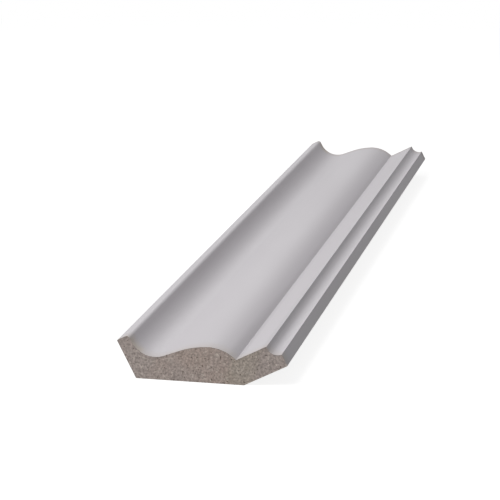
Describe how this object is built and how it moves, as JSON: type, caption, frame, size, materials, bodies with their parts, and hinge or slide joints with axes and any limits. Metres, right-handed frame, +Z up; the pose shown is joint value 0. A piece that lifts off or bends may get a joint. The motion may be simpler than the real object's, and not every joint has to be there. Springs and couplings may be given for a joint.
{
  "type": "ceiling coving",
  "caption": "Straight length of ogee ceiling coving in primed fibreboard, square-cut ends, flat splayed back with ceiling and wall faces.",
  "frame": {"origin": "centre of the length and of the overall width, on the floor that the flat back lies on", "axes": "+Y along the length; +Z up off the flat back, towards the moulded face; -X towards the ceiling side with its lip, +X towards the wall side with its fascia"},
  "size_m": [0.0898, 0.6, 0.0223],
  "materials": {
    "primed_fibreboard": "medium density fibreboard with a smooth matt pale grey primer on the moulded face, the lip and the underside; bare brown fibre at the sawn ends, on the flat back and on the two faces beside it"
  },
  "bodies": {
    "root": {"coving": "primed_fibreboard"}
  },
  "joints": []
}
